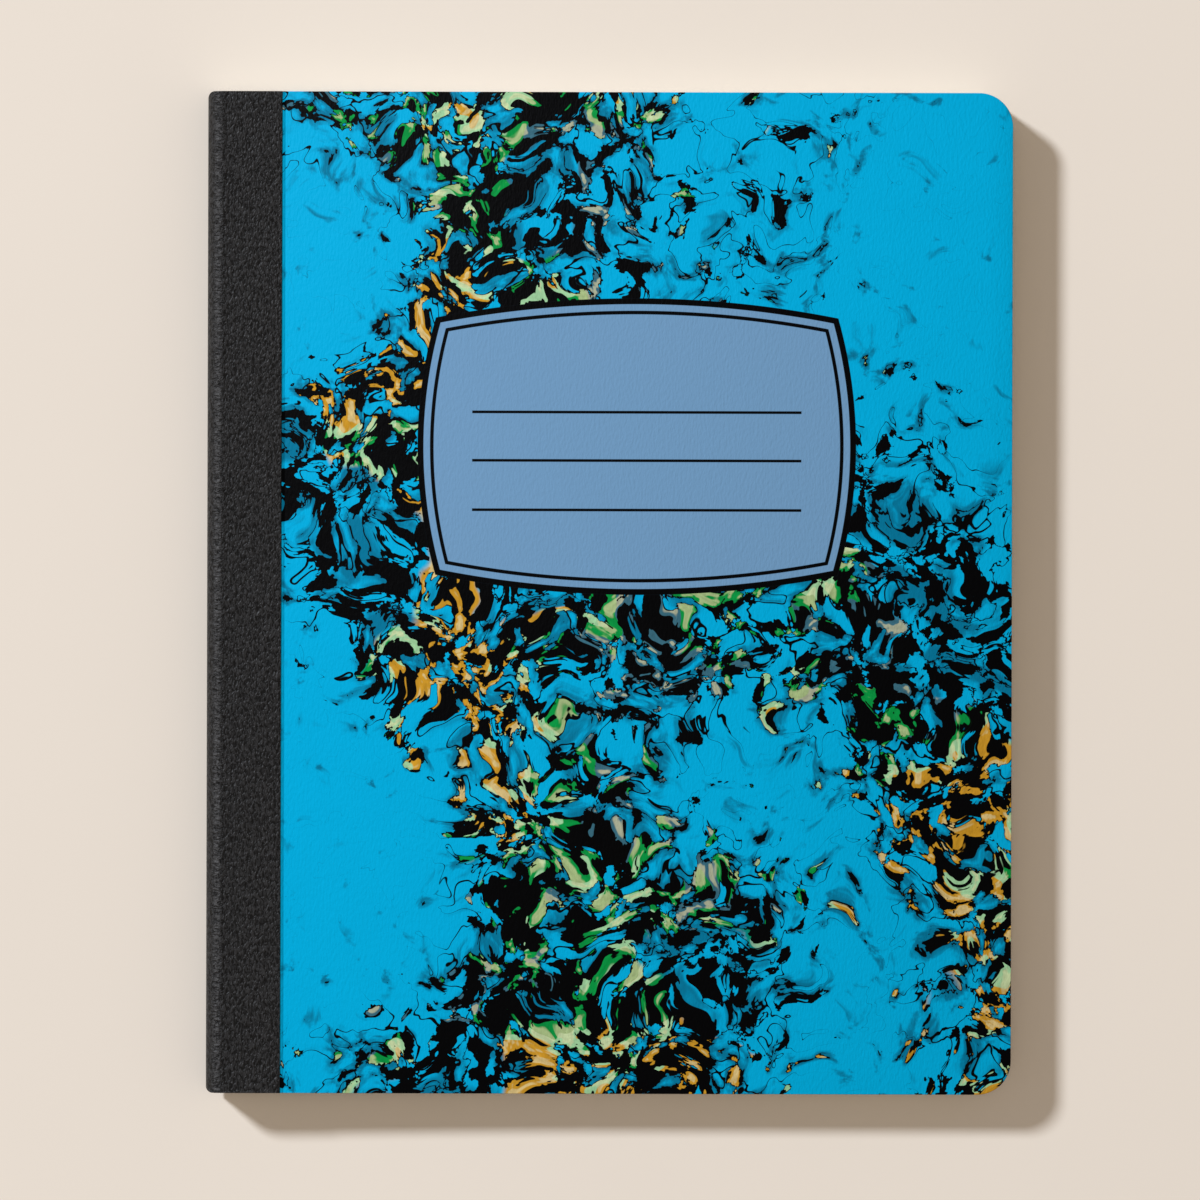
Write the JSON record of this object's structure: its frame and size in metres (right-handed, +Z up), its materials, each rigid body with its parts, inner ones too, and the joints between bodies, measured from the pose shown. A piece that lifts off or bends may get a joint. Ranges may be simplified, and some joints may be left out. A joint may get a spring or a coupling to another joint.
{
  "type": "composition notebook",
  "caption": "Sewn composition notebook with stiff covers, rounded fore corners and a cloth tape round its spine; both covers open flat.",
  "frame": {"origin": "middle of the closed notebook's footprint, on the surface it lies on", "axes": "+X from the spine to the fore-edge, +Y to the head, +Z up through the front cover"},
  "size_m": [0.1948, 0.2422, 0.0117],
  "materials": {
    "pages": "uncoated",
    "thread": "matte",
    "cover_board": "embossed satin",
    "binding_tape": "grained satin"
  },
  "bodies": {
    "text_block": {"page_block": "pages", "sewing_thread": "thread", "tape_spine": "binding_tape"},
    "front_cover": {"front_board": "cover_board", "tape_front_flap": "binding_tape"},
    "back_cover": {"back_board": "cover_board", "tape_back_flap": "binding_tape"}
  },
  "joints": [
    {"name": "front_cover_hinge", "type": "hinge", "parent": "text_block", "child": "front_cover", "pos_m": [-0.0921, 0, 0.01175], "axis": [0, -1, 0], "range_deg": [0, 180]},
    {"name": "back_cover_hinge", "type": "hinge", "parent": "text_block", "child": "back_cover", "pos_m": [-0.0921, 0, -0.00005], "axis": [0, 1, 0], "range_deg": [0, 180]}
  ]
}
